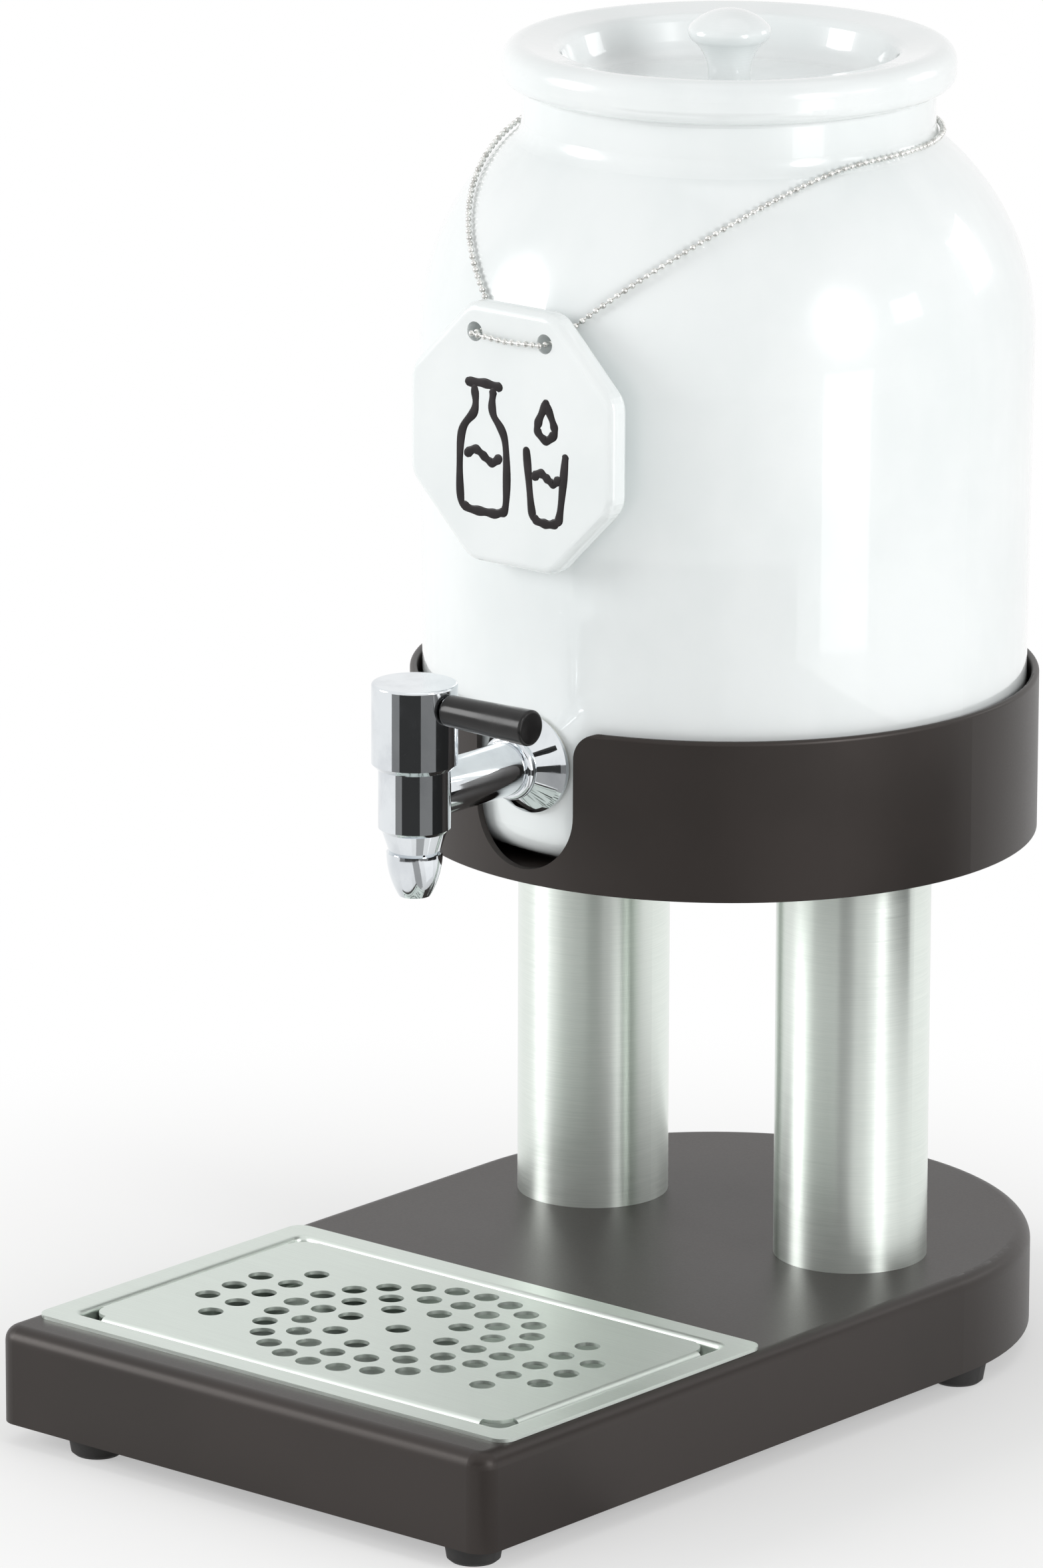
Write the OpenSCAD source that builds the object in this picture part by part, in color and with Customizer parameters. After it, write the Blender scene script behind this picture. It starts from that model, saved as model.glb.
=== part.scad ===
// Milk dispenser: a porcelain jar with a chrome tap, held in a painted cradle
// on two steel posts, over a base with a lift-out drip tray and grid.
// +Z is up, the front looks along -Y, and the origin is under the middle of the base.

/* [Base] */
// Width of the base, which is also the diameter of its round rear
base_w = 204; // [196:1:240]
// Length of the base from front to rear
base_l = 341; // [330:1:400]
// Height of the base shell
base_h = 32; // [28:1:50]
// Sheet thickness of the base shell
base_wall = 1.5; // [1:0.1:2.5]
// Radius of the two upright front corners
base_corner_r = 7; // [6:0.5:14]
// Radius of the rounded top edge
base_edge_r = 5; // [3:0.5:5.5]
// Thickness of the bottom cover
cover_t = 1.5; // [1:0.1:3]

/* [Feet] */
// Height of a rubber foot
foot_h = 7; // [5:0.5:15]
// Diameter of a foot where it meets the base
foot_top_d = 19; // [17:0.5:24]
// Diameter of a foot where it meets the table
foot_low_d = 16.5; // [14:0.5:20]
// Distance of the front feet from the front of the base
foot_front_inset = 12.5; // [11:0.5:14]
// Distance of the front right foot from the base's side
foot_right_inset = 14.5; // [12:0.5:30]
// Distance of the front left foot from the base's side
foot_left_inset = 32; // [12:0.5:40]
// Distance of the other feet from the round edge
foot_rear_inset = 10.5; // [10.5:0.5:25]
// Diameter of the foot screws
foot_screw_d = 4; // [3:0.5:5]

/* [Drip tray] */
// Width of the tray over its flange
tray_w = 196.5; // [170:0.5:198]
// Length of the tray over its flange
tray_l = 127; // [100:0.5:140]
// Bare base in front of the tray
tray_front_gap = 14.2; // [13:0.2:25]
// Sheet thickness of the tray
tray_sheet = 1.2; // [0.8:0.1:2]
// Width of the tray's flat flange
flange_w = 9.5; // [7:0.5:14]
// Depth of the pan under the flange
pan_depth = 16; // [10:0.5:20]
// Radius of the flange's outer corners
flange_corner_r = 5; // [3:0.5:9]
// Radius of the pan's upright corners
pan_corner_r = 3; // [2:0.5:6]
// Room between the pan and the hole in the base
tray_clear = 1; // [0.5:0.1:1.5]
// Outer radius of the tray's bends
tray_bend_r = 2.2; // [2:0.1:3]

/* [Drip grid] */
// Sheet thickness of the grid
grid_sheet = 1.2; // [0.8:0.1:2]
// Room between the grid's folded edges and the pan
grid_clear = 0.6; // [0.4:0.1:1.5]
// Outer radius of the grid's folded edges
grid_bend_r = 2.4; // [2.1:0.1:4]
// Cut back of the folded edges at the corners
grid_corner_r = 9; // [6:0.5:14]
// Diameter of the drain holes
hole_d = 8.2; // [6:0.2:9]
// Step from one ring of holes to the next
ring_step = 11.6; // [11:0.1:13]
// Radius of the innermost ring of holes
ring_first_r = 20; // [16:0.5:24]
// Pitch of the straight rows of holes at the sides
row_pitch = 12.8; // [11:0.1:14]
// Distance of the inner straight row from the middle
row_x = 57; // [54:0.5:60]

/* [Posts] */
// Diameter of the posts
post_d = 50; // [40:1:56]
// Wall of the post tubes
post_wall = 2; // [1.5:0.1:4]
// Height of the posts
post_h = 136; // [110:1:220]
// Distance between the posts' axes
post_spacing = 109.2; // [90:0.2:120]
// Height of the plugs in the tube ends
plug_h = 14; // [10:0.5:25]
// Diameter of the bolts up into the posts
base_bolt_d = 8; // [6:1:10]
// Diameter of the screws down into the posts
cradle_screw_d = 6; // [5:0.5:8]

/* [Cradle] */
// Wall of the cradle
cradle_wall = 2.5; // [1.5:0.1:4]
// Height of the cradle
cradle_h = 52.5; // [45:0.5:70]
// Thickness of the cradle's floor
cradle_floor = 4; // [3.5:0.1:8]
// Width of the notch for the tap
notch_w = 40; // [37:0.5:50]
// Height of the wall left under the notch
notch_sill = 4.5; // [4.2:0.1:9]
// Radius of the notch's upper corners
notch_lip_r = 9; // [4:0.5:12]
// Room between the jar and the cradle
jar_clear = 1.9; // [1.7:0.1:4]
// Thickness of the pad under the jar
pad_t = 2.5; // [1:0.1:4]

/* [Jar] */
// Radius of the jar just over its bottom edge
jar_low_r = 97.6; // [90:0.1:104]
// Growth of the radius from there to the shoulder
jar_draft = 1.6; // [0:0.1:1.8]
// Height of the shoulder's start over the jar's bottom
shoulder_h = 156.5; // [130:0.5:220]
// Radius of the round shoulder
shoulder_r = 82; // [70:0.5:95]
// Outer radius of the neck
neck_r = 66.4; // [58:0.2:74]
// Radius of the hollow between shoulder and neck
neck_fillet_r = 8; // [6:0.5:12]
// Height of the plain neck
neck_h = 11.5; // [8:0.5:15]
// How far the mouth's lip stands out from the neck
lip_out = 6.5; // [5.5:0.1:8]
// Height of the mouth's lip
lip_h = 5; // [4.9:0.1:8]
// Radius of the lip's lower edge
lip_round_r = 4.5; // [3:0.1:4.8]
// Thickness of the porcelain
jar_wall = 5; // [4:0.1:6.5]
// Radius of the jar's bottom edge
jar_foot_r = 10; // [8:0.5:14]

/* [Lid] */
// Radius of the lid's outer edge
roll_r = 6; // [5:0.1:7]
// Height of the straight band under that edge
roll_band = 2.7; // [2:0.1:4]
// Width of the broad rim, from its outer edge to the dish
rim_w = 19.4; // [18:0.2:22]
// Fall of the rim from its crest to its inner edge
rim_fall = 1.6; // [1:0.1:2.5]
// Radius of the rim's inner edge
rim_edge_r = 4; // [3:0.1:5]
// Depth of the dish, from the outer edge's axis to the dish's floor
dish_depth = 8.7; // [7:0.1:10]
// Lean of the dish's wall, in degrees
dish_lean = 20; // [10:1:30]
// Radius between the dish's wall and its floor
dish_fillet_r = 7; // [4:0.5:8]
// Thickness of the lid
lid_t = 5; // [3.5:0.1:6]
// Depth of the collar that sits inside the neck
lid_collar_h = 14; // [10:0.5:18]
// Room between that collar and the neck
lid_clear = 0.6; // [0.4:0.1:1.5]
// Widest radius of the knob
knob_r = 13.4; // [11:0.1:16]
// Radius of the knob's stem
knob_stem_r = 6.9; // [5:0.1:8]
// Height of the knob's widest part over the lid's dish
knob_wide_h = 17.5; // [15:0.5:22]
// Height of the knob's crown over its widest part
knob_crown_h = 7.5; // [6:0.5:9]

/* [Tap] */
// Height of the tap's pipe over the jar's bottom
tap_h = 32.5; // [30:0.5:45]
// Distance of the tap's axis from the jar
tap_reach = 55.6; // [50:0.2:70]
// Diameter of the pipe
pipe_d = 17.4; // [14:0.2:17.8]
// Diameter of the threaded tail in the jar's wall
tail_d = 16; // [13:0.2:17]
// Diameter of the bore for the milk
milk_bore_d = 10; // [8:0.2:11]
// Diameter of the barrel
barrel_d = 23; // [22:0.2:25]
// Diameter of the head
head_d = 27.3; // [27:0.1:32]
// Height of the head
head_h = 27.5; // [25:0.5:36]
// Height of the slanted edge under the head
head_chamfer = 1.6; // [0.8:0.1:1.7]
// Length of the barrel under the head
barrel_drop = 27.4; // [26.5:0.2:36]
// Height of the barrel's tapered lower end
barrel_taper_h = 6.9; // [4:0.1:8]
// Diameter of the nozzle's upper end
nozzle_d = 17.8; // [16:0.2:19]
// Diameter of the nozzle's tip
nozzle_tip_d = 10; // [8:0.2:12]
// Length of the nozzle
nozzle_h = 14.1; // [10:0.1:20]
// Diameter of the rosette against the jar
rosette_d = 32.8; // [30:0.2:35]
// Height of the rosette
rosette_h = 6.5; // [5:0.1:9]
// Diameter of the collar ring
collar_d = 21; // [20:0.2:24]
// Width of the collar ring
collar_w = 4; // [3:0.1:6]
// Thickness of the gaskets
gasket_t = 1.2; // [0.8:0.1:2]
// Lift of the valve
valve_lift = 3; // [2:0.1:3.4]

/* [Lever] */
// Diameter of the lever at the head
lever_root_d = 10; // [8:0.2:11]
// Diameter of the lever at its tip
lever_tip_d = 11.5; // [9:0.2:13]
// Length of the lever's grip
lever_l = 34; // [28:0.5:40]
// Depth of the lever's axis under the head's top
lever_drop = 6.7; // [6.2:0.1:8]
// Diameter of the stud in the lever
stud_d = 5; // [4:0.2:6]

/* [Sign] */
// Width of the eight-sided sign across its flats
sign_w = 84; // [70:0.5:95]
// Thickness of the sign
sign_t = 8.5; // [6.5:0.1:9]
// Radius of the sign's corners
sign_corner_r = 9; // [7:0.5:12]
// Radius of the sign's softened edges
sign_edge_r = 3; // [1.5:0.1:3.2]
// Height of the sign's middle over the jar's bottom
sign_h = 139.5; // [120:0.5:150]
// Room between the sign and the jar
sign_clear = 0.4; // [0.3:0.1:1]
// Diameter of the two holes for the chain
sign_hole_d = 6.3; // [6:0.1:7]
// Distance between the two holes
sign_hole_gap = 28.7; // [24:0.1:34]
// Height of the holes over the sign's middle
sign_hole_h = 32.5; // [30:0.5:34]

/* [Chain] */
// Diameter of a bead
bead_d = 2; // [1.6:0.1:2.2]
// Distance from bead to bead
bead_pitch = 2.8; // [2.6:0.1:3.4]
// Diameter of the wire between two beads
link_d = 0.7; // [0.5:0.1:0.9]
// Room between the beads and the jar
chain_clear = 0.4; // [0.3:0.1:0.6]
// Length of the sleeve that closes the chain
clasp_l = 8; // [6:0.5:10]

/* [Hidden] */
$fn = 96;

// Colours as they look
paint = [0.24, 0.22, 0.21];
steel = [0.82, 0.84, 0.83];
chrome = [0.9, 0.91, 0.92];
porcelain = [0.95, 0.96, 0.95];
black = [0.07, 0.07, 0.07];
seal_grey = [0.78, 0.78, 0.76];

// How far a cut runs past the piece that it cuts
overrun = 2;
// Room of a screw in its thread, and of a fixed piece in its seat
seat_gap = 0.05;
// Room between the end of a screw and the bottom of its hole
end_gap = 2;

// Levels from the table up, and the upright axis that posts, cradle and jar share
front_y = -base_l / 2;
axis_y = base_l / 2 - base_w / 2;
base_top = foot_h + base_h;
post_top = base_top + post_h;
floor_top = post_top + cradle_floor;
jar_z = floor_top + pad_t;

// Feet: front right, front left, right side, left side, rear middle
foot_ring = base_w / 2 - foot_rear_inset;
side_foot_y = axis_y + foot_rear_inset;
foot_places = [[base_w / 2 - foot_right_inset, front_y + foot_front_inset],
               [foot_left_inset - base_w / 2, front_y + foot_front_inset],
               [foot_ring, side_foot_y], [-foot_ring, side_foot_y], [0, axis_y + foot_ring]];
foot_round = 1;
foot_sink_d = 9;
foot_sink_h = 3.5;
foot_head_h = 2.4;
foot_screw_h = 11;
boss_d = 10;
cover_gap = 0.3;

// Tray and grid
grid_gap = 0.03;
pan_w = tray_w - 2 * flange_w;
pan_l = tray_l - 2 * flange_w;
tray_y = front_y + tray_front_gap + tray_l / 2;
tray_top = base_top + tray_sheet;
pan_floor = tray_top - pan_depth;
grid_w = pan_w - 2 * grid_clear;
grid_l = pan_l - 2 * grid_clear;
// The grid's folded edges stand on the round of the pan's lower bend
pan_bend_r = tray_bend_r - tray_sheet;
grid_bite = max(pan_bend_r - grid_clear, 0);
grid_seat = pan_bend_r - sqrt(pow(pan_bend_r, 2) - pow(grid_bite, 2)) + grid_gap;
ring_holes = [8, 16, 24];
row_holes = [5, 3];

// Posts and their fasteners
plug_r = post_d / 2 - post_wall - seat_gap;
hex_width_share = 1.6;
hex_height_share = 0.7;
bolt_head_w = hex_width_share * base_bolt_d;
bolt_head_h = hex_height_share * base_bolt_d;
bolt_grip = 10;
washer_d = 24;
washer_t = 2;
bolt_hole_gap = 0.3;
screw_head_share = 1.9;
screw_head_d = screw_head_share * cradle_screw_d;
screw_head_h = 3.1;
screw_grip = 11;

// Cradle and jar
cradle_r = jar_low_r + jar_clear + cradle_wall;
cradle_top = post_top + cradle_h;
notch_depth = 24;
pad_inset = 14;
jar_high_r = jar_low_r + jar_draft;
jar_low_z = jar_z + jar_foot_r;
shoulder_z = jar_z + shoulder_h;
bend_sum = shoulder_r + neck_fillet_r;
bend_a = acos((bend_sum - jar_high_r + neck_r) / bend_sum);
neck_z = shoulder_z + bend_sum * sin(bend_a);
lip_z = neck_z + neck_h;
lip_r = neck_r + lip_out;
mouth_z = lip_z + lip_h;
lip_fillet_r = lip_out - lip_round_r;
blend_bite = 0.004;
jar_recess_inset = 18;
jar_recess_h = 2;

// Lid: the rim's top runs smoothly from its outer edge to its inner edge, and on into the dish's wall
roll_z = mouth_z + roll_band;
roll_c = [lip_r - roll_r, roll_z];
rim_c = [lip_r - rim_w + rim_edge_r, roll_z + roll_r - rim_fall - rim_edge_r];
rim_rise = roll_c - rim_c;
rim_a = 90 + atan2(rim_rise.y, rim_rise.x) + asin((roll_r - rim_edge_r) / norm(rim_rise));
rim_up = [cos(rim_a), sin(rim_a)];
dish_z = roll_z - dish_depth;
wall_out = [cos(dish_lean), -sin(dish_lean)];
wall_up = [sin(dish_lean), cos(dish_lean)];
wall_top = rim_c - (rim_edge_r - blend_bite) * wall_out;
fillet_z = dish_z + dish_fillet_r;
fillet_in = (dish_fillet_r + (wall_top.y - fillet_z) * sin(dish_lean)) / cos(dish_lean);
fillet_c = [wall_top.x - fillet_in, fillet_z];
lid_collar_r = neck_r - jar_wall - lid_clear;
lid_collar_in = lid_collar_r - lid_t;
lid_collar_z = mouth_z - lid_collar_h;
knob_wide_z = dish_z + knob_wide_h;
knob_top_z = knob_wide_z + knob_crown_h;
knob_edge_r = 3.2;
knob_flare_r = 14;

// Tap
tap_z = jar_z + tap_h;
tap_y = axis_y - flank_r(tap_z) - tap_reach;
head_gap = 0.5;
head_z = tap_z + pipe_d / 2 + head_gap;
head_top = head_z + head_h;
head_round = 0.8;
seam_z = head_z - barrel_drop;
barrel_round = 1.2;
barrel_lap = 1.2;
barrel_top = head_z + barrel_lap;
barrel_wall = 2;
shaft_d = 16;
shaft_h = 13.5;
shaft_top = barrel_top + shaft_h;
run_gap = 0.05;
head_face_gap = 0.3;
spigot_d = 12;
spigot_h = 2.5;
seat_t = 2.2;
seat_z = seam_z + spigot_h + seat_t;
seat_d = 7;
spout_d = 6.8;
chamber_d = 12;
chamber_over = 1;
chamber_top = tap_z + milk_bore_d / 2 + chamber_over;
stem_d = 6;
stem_ring_wire = 1.6;
stem_ring_h = 4;
stem_ring_z = barrel_top + stem_ring_h;
thread_d = 8;
thread_gap = 0.6;
thread_z = shaft_top + thread_gap;
thread_h = 6.5;
thread_room = 0.4;
seal_d = 11;
seal_t = 3;

// Seats of the tap in the jar's wall
jar_bore_gap = 0.5;
jar_bore_d = tail_d + 2 * jar_bore_gap;
jar_front = axis_y - flank_r(tap_z);
wall_in = jar_front + jar_wall;
inner_gasket_d = 28;
gasket_flat = wall_in + gasket_t + pow(inner_gasket_d / 2, 2) / (2 * (jar_low_r - jar_wall));
inner_washer_t = 1.5;
nut_w = 22;
nut_h = 7;
tail_past_nut = 3;
collar_round = 1.6;
rosette_brim = 1.2;
// How far the jar's round falls back behind the rim of the rosette
rosette_sag = pow(rosette_d / 2, 2) / (2 * jar_low_r);

// Lever
lever_gap = 0.3;
lever_x = head_d / 2 + lever_gap;
lever_z = head_top - lever_drop;
lever_round = 0.9;
stud_in = 6;
stud_grip = 18;

// Sign: its back stands just clear of the jar's widest part
sign_y = axis_y - jar_high_r - sign_clear - sign_t / 2;
sign_z = jar_z + sign_h;
sign_hole_z = sign_z + sign_hole_h;

// Chain route
chain_off = bead_d / 2 + chain_clear;
chain_drop = 3;
chain_z = neck_z - chain_drop;
chain_out = 1.1;
chain_front = sign_t / 2 + bead_d / 2 + chain_out;
chain_sag = 1;
strand_power = 2.5;
strand_end_share = 0.03;
strand_steps = 60;
strand_end_a = asin(sign_hole_gap / 2 / jar_r(sign_hole_z, -chain_off));
link_gap = 0.02;
clasp_wall = 0.4;
clasp_room = 0.2;
clasp_d = bead_d + 2 * (clasp_room + clasp_wall);
clasp_off = clasp_d / 2 + chain_clear;
clasp_steps = 4;

// Radius of the drafted flank of the jar at a height
function flank_r(z) = jar_low_r + jar_draft * (z - jar_low_z) / (shoulder_z - jar_low_z);

// Radius of the jar's outline at a height, drawn in by inset or out by a negative one
function jar_r(z, inset = 0) =
  z <= shoulder_z ? flank_r(z) - inset
  : z <= shoulder_z + (shoulder_r - inset) * sin(bend_a)
    ? jar_high_r - shoulder_r + sqrt(pow(shoulder_r - inset, 2) - pow(z - shoulder_z, 2))
  : z <= neck_z
    ? neck_r + neck_fillet_r - sqrt(pow(neck_fillet_r + inset, 2) - pow(neck_z - z, 2))
  : neck_r - inset;

// Points of an arc from angle a to angle b
function arc(centre, r, a, b, steps = 12) =
  [for (i = [0 : steps]) centre + r * [cos(a + (b - a) * i / steps), sin(a + (b - a) * i / steps)]];

// Sweeps a profile round a rectangle with round corners, with the profile's x outwards and y up
module swept_round(w, l, r) {
  for (half = [0, 180]) rotate(half) {
    translate([w / 2, l / 2 - r, 0]) rotate([90, 0, 0]) linear_extrude(l - 2 * r) children();
    translate([r - w / 2, l / 2, 0]) rotate([90, 0, 90]) linear_extrude(w - 2 * r) children();
    translate([w / 2 - r, l / 2 - r, 0]) rotate_extrude(angle = 90) translate([r, 0]) children();
    translate([r - w / 2, l / 2 - r, 0]) rotate(90) rotate_extrude(angle = 90) translate([r, 0]) children();
  }
}

// Rectangle with round corners
module round_rect(w, l, r) {
  square([w - 2 * r, l], center = true);
  square([w, l - 2 * r], center = true);
  for (x = [-1, 1], y = [-1, 1]) translate([x * (w / 2 - r), y * (l / 2 - r)]) circle(r);
}

// Upright rectangle in a turned profile, from the axis out
module turned_rect(r, low, high) {
  translate([0, low]) square([r, high - low]);
}

// Turned solid lying along Y, with its profile's height measured towards +Y
module along_y(y) {
  translate([0, y, tap_z]) rotate([-90, 0, 0]) children();
}

// Moves children to the upright axis of the stand
module on_axis() {
  translate([0, axis_y, 0]) children();
}

// Moves children to the upright axis of the tap
module on_tap() {
  translate([0, tap_y, 0]) children();
}

// Outline of the base seen from above, drawn in by inset
module base_outline(inset) {
  r = base_corner_r - inset;
  w = base_w - 2 * inset;
  low = front_y + inset;
  translate([0, axis_y]) circle(w / 2);
  translate([-w / 2, low + r]) square([w, axis_y - low - r]);
  translate([r - w / 2, low]) square([w - 2 * r, r + overrun]);
  for (x = [-1, 1]) translate([x * (w / 2 - r), low + r]) circle(r);
}

// Upright section of the base's edge: a slab of reach r with a rounded upper outer corner
module edge_section(r, h, edge) {
  square([r - edge, h]);
  square([r, h - edge]);
  translate([r - edge, h - edge]) circle(edge);
}

// Base slab with a rounded top edge, drawn in by inset and h high
module base_slab(inset, h) {
  edge = base_edge_r - inset;
  r = base_corner_r - inset;
  w = base_w - 2 * inset;
  low = front_y + inset;
  on_axis() rotate_extrude(angle = 180) edge_section(w / 2, h, edge);
  on_axis() rotate([90, 0, 0]) linear_extrude(axis_y - low - r) {
    edge_section(w / 2, h, edge);
    mirror([1, 0]) edge_section(w / 2, h, edge);
  }
  translate([r - w / 2, low + r, 0]) rotate([90, 0, 90]) linear_extrude(w - 2 * r)
    mirror([1, 0]) edge_section(r, h, edge);
  for (x = [0, 1]) mirror([x, 0, 0]) translate([w / 2 - r, low + r, 0]) rotate(-90)
    rotate_extrude(angle = 90) edge_section(r, h, edge);
}

module base_shell() {
  color(paint) difference() {
    union() {
      difference() {
        translate([0, 0, foot_h]) base_slab(0, base_h);
        translate([0, 0, foot_h - overrun]) base_slab(base_wall, base_h - base_wall + overrun);
      }
      for (place = foot_places) translate([place.x, place.y, foot_h + cover_t])
        cylinder(d = boss_d, h = base_h - base_wall - cover_t);
    }
    translate([0, tray_y, base_top - base_wall - overrun]) linear_extrude(base_wall + 2 * overrun)
      round_rect(pan_w + 2 * (tray_sheet + tray_clear), pan_l + 2 * (tray_sheet + tray_clear),
                 pan_corner_r + tray_sheet + tray_clear);
    for (place = foot_places) translate([place.x, place.y, foot_h])
      cylinder(d = foot_screw_d + 2 * seat_gap, h = cover_t + foot_screw_h);
    for (x = [-1, 1]) translate([x * post_spacing / 2, axis_y, base_top - base_wall - overrun])
      cylinder(d = base_bolt_d + 2 * bolt_hole_gap, h = base_wall + 2 * overrun);
  }
}

module base_cover() {
  color(paint) difference() {
    translate([0, 0, foot_h]) linear_extrude(cover_t) base_outline(base_wall + cover_gap);
    for (place = foot_places) translate([place.x, place.y, foot_h - overrun])
      cylinder(d = foot_screw_d + 2 * bolt_hole_gap, h = cover_t + 2 * overrun);
  }
}

module foot() {
  slope = (foot_top_d - foot_low_d) / 2 / foot_h;
  rotate_extrude() difference() {
    polygon([[0, 0], [foot_low_d / 2 - foot_round, 0], [foot_low_d / 2 + foot_round * slope, foot_round],
             [foot_top_d / 2, foot_h], [0, foot_h]]);
    turned_rect(foot_sink_d / 2, -overrun, foot_sink_h);
    turned_rect(foot_screw_d / 2 + bolt_hole_gap, 0, foot_h + overrun);
  }
}

module rubber_feet() {
  color(black) for (place = foot_places) translate(place) foot();
}

module foot_screws() {
  color(steel) for (place = foot_places) translate([place.x, place.y, foot_sink_h]) {
    translate([0, 0, -foot_head_h]) cylinder(d = 2 * foot_screw_d, h = foot_head_h);
    cylinder(d = foot_screw_d, h = foot_h - foot_sink_h + cover_t + foot_screw_h - end_gap);
  }
}

module post_tube() {
  difference() {
    cylinder(d = post_d, h = post_h);
    translate([0, 0, -overrun]) cylinder(d = post_d - 2 * post_wall, h = post_h + 2 * overrun);
  }
}

module left_post() {
  color(steel) translate([-post_spacing / 2, axis_y, base_top]) post_tube();
}

module right_post() {
  color(steel) translate([post_spacing / 2, axis_y, base_top]) post_tube();
}

// Pair of plugs with a blind thread of the given size, open towards the seat
module post_plugs(z, thread, grip) {
  for (x = [-1, 1]) translate([x * post_spacing / 2, axis_y, z]) difference() {
    cylinder(r = plug_r, h = plug_h);
    translate([0, 0, -overrun]) cylinder(d = thread + 2 * seat_gap, h = grip + overrun);
  }
}

module top_plugs() {
  color(steel) translate([0, 0, 2 * post_top]) mirror([0, 0, 1])
    post_plugs(post_top, cradle_screw_d, screw_grip);
}

module bottom_plugs() {
  color(steel) post_plugs(base_top, base_bolt_d, bolt_grip + end_gap);
}

module base_bolts() {
  seat = base_top - base_wall - washer_t;
  color(steel) for (x = [-1, 1]) translate([x * post_spacing / 2, axis_y, seat]) {
    translate([0, 0, -bolt_head_h]) cylinder(d = bolt_head_w / cos(30), h = bolt_head_h, $fn = 6);
    cylinder(d = base_bolt_d, h = washer_t + base_wall + bolt_grip);
  }
}

module base_washers() {
  color(steel) for (x = [-1, 1])
    translate([x * post_spacing / 2, axis_y, base_top - base_wall - washer_t]) difference() {
      cylinder(d = washer_d, h = washer_t);
      translate([0, 0, -overrun])
        cylinder(d = base_bolt_d + 2 * bolt_hole_gap, h = washer_t + 2 * overrun);
    }
}

// Front view of the notch: round at the bottom, with its upper corners rolled outwards
module notch_outline() {
  low = post_top + notch_sill + notch_w / 2;
  translate([0, low]) circle(d = notch_w);
  translate([-notch_w / 2, low]) square([notch_w, cradle_top - low + overrun]);
  for (x = [0, 1]) mirror([x, 0]) difference() {
    translate([notch_w / 2, cradle_top - notch_lip_r]) square([notch_lip_r, notch_lip_r + overrun]);
    translate([notch_w / 2 + notch_lip_r, cradle_top - notch_lip_r]) circle(notch_lip_r);
  }
}

module cradle() {
  rim = cradle_wall / 2;
  color(paint) difference() {
    on_axis() rotate_extrude() {
      turned_rect(cradle_r, post_top, floor_top);
      translate([cradle_r - cradle_wall, post_top]) square([cradle_wall, cradle_h - rim]);
      translate([cradle_r - rim, cradle_top - rim]) circle(rim);
    }
    translate([0, axis_y - cradle_r + notch_depth, 0]) rotate([90, 0, 0])
      linear_extrude(notch_depth + overrun) notch_outline();
    for (x = [-1, 1]) translate([x * post_spacing / 2, axis_y, 0]) {
      translate([0, 0, post_top - overrun])
        cylinder(d = cradle_screw_d + 2 * bolt_hole_gap, h = cradle_floor + 2 * overrun);
      translate([0, 0, floor_top - screw_head_h]) screw_cone(bolt_hole_gap);
    }
  }
}

// Countersunk head, grown by a gap for its seat
module screw_cone(gap) {
  cylinder(r1 = cradle_screw_d / 2 + gap, r2 = screw_head_d / 2 + gap, h = screw_head_h);
}

module cradle_screws() {
  color(steel) for (x = [-1, 1]) translate([x * post_spacing / 2, axis_y, floor_top - screw_head_h]) {
    screw_cone(0);
    translate([0, 0, screw_head_h - cradle_floor - screw_grip + end_gap])
      cylinder(d = cradle_screw_d, h = cradle_floor + screw_grip - end_gap);
  }
}

module jar_pad() {
  color(black) on_axis() translate([0, 0, floor_top]) cylinder(r = jar_low_r - pad_inset, h = pad_t);
}

// Section of the pan's wall: bent out to the flange above and in to the floor below
module pan_section() {
  inner_r = tray_bend_r - tray_sheet;
  difference() {
    union() {
      translate([0, pan_floor + inner_r]) square([tray_sheet, pan_depth - inner_r - tray_bend_r]);
      translate([0, tray_top - tray_bend_r]) square(tray_bend_r);
      translate([tray_sheet - tray_bend_r, pan_floor - tray_sheet]) square(tray_bend_r);
    }
    difference() {
      translate([-overrun, tray_top - tray_bend_r]) square(tray_bend_r + overrun);
      translate([tray_bend_r, tray_top - tray_bend_r]) circle(tray_bend_r);
      translate([tray_bend_r, tray_top - tray_bend_r]) square(tray_bend_r + overrun);
    }
    translate([tray_bend_r, tray_top - tray_bend_r]) circle(inner_r);
    difference() {
      translate([tray_sheet - tray_bend_r, pan_floor - tray_sheet - overrun])
        square([tray_bend_r + overrun, tray_bend_r + overrun]);
      translate([tray_sheet - tray_bend_r, pan_floor + inner_r]) circle(tray_bend_r);
    }
    translate([tray_sheet - tray_bend_r, pan_floor + inner_r]) circle(inner_r);
  }
}

module drip_tray() {
  inner_r = tray_bend_r - tray_sheet;
  color(steel) translate([0, tray_y, 0]) {
    translate([0, 0, base_top]) linear_extrude(tray_sheet) difference() {
      round_rect(tray_w, tray_l, flange_corner_r);
      round_rect(pan_w + 2 * tray_bend_r, pan_l + 2 * tray_bend_r, pan_corner_r + tray_bend_r);
    }
    swept_round(pan_w, pan_l, pan_corner_r) pan_section();
    translate([0, 0, pan_floor - tray_sheet]) linear_extrude(tray_sheet)
      round_rect(pan_w - 2 * inner_r, pan_l - 2 * inner_r, pan_corner_r - inner_r);
  }
}

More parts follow.
